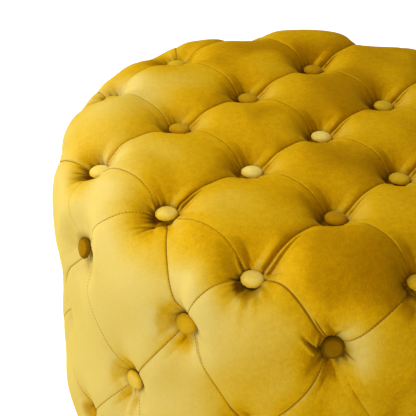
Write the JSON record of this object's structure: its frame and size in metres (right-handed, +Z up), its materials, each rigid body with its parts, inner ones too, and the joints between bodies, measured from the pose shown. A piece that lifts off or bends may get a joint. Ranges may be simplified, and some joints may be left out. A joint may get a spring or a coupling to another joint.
{
  "type": "round tufted stool",
  "caption": "Low round drum stool, velvet cover drawn into deep lozenge tufts by covered buttons on the top and down the side, stitched seams, dust cover and low glides beneath",
  "frame": {"origin": "on the floor, under the middle of the round seat", "axes": "+Z up along the axis of the round drum; the top lozenges point along X and Y"},
  "size_m": [0.5496, 0.5494, 0.4241],
  "materials": {
    "velvet_top": "short-pile velvet, mustard yellow, soft sheen at grazing angles",
    "velvet_side": "short-pile velvet, mustard yellow, brushed downwards",
    "velvet_button": "velvet stretched over a button mould",
    "foam": "open-cell upholstery foam",
    "plywood": "raw plywood",
    "hardboard": "bent hardboard sheet",
    "pine": "sawn softwood",
    "non_woven": "black non-woven dust cover cloth",
    "glide_plastic": "moulded black plastic",
    "zinc": "zinc-plated steel screw"
  },
  "bodies": {
    "root": {"top_cover": "velvet_top", "side_cover_1": "velvet_side", "side_cover_2": "velvet_side", "side_cover_3": "velvet_side", "side_cover_4": "velvet_side", "top_button_01": "velvet_button", "top_button_02": "velvet_button", "top_button_03": "velvet_button", "top_button_04": "velvet_button", "top_button_05": "velvet_button", "top_button_06": "velvet_button", "top_button_07": "velvet_button", "top_button_08": "velvet_button", "top_button_09": "velvet_button", "top_button_10": "velvet_button", "top_button_11": "velvet_button", "top_button_12": "velvet_button", "top_button_13": "velvet_button", "top_button_14": "velvet_button", "top_button_15": "velvet_button", "top_button_16": "velvet_button", "top_button_17": "velvet_button", "top_button_18": "velvet_button", "top_button_19": "velvet_button", "top_button_20": "velvet_button", "top_button_21": "velvet_button", "side_buttons_upper": "velvet_button", "side_buttons_middle": "velvet_button", "side_buttons_lower": "velvet_button", "top_foam": "foam", "side_foam": "foam", "seat_deck": "plywood", "base_ring": "plywood", "drum_hoop": "hardboard", "post_1": "pine", "post_2": "pine", "post_3": "pine", "post_4": "pine", "post_5": "pine", "post_6": "pine", "dust_cover": "non_woven", "glide_1": "glide_plastic", "glide_2": "glide_plastic", "glide_3": "glide_plastic", "glide_4": "glide_plastic", "glide_5": "glide_plastic", "glide_6": "glide_plastic", "glide_screw_1": "zinc", "glide_screw_2": "zinc", "glide_screw_3": "zinc", "glide_screw_4": "zinc", "glide_screw_5": "zinc", "glide_screw_6": "zinc"}
  },
  "joints": []
}
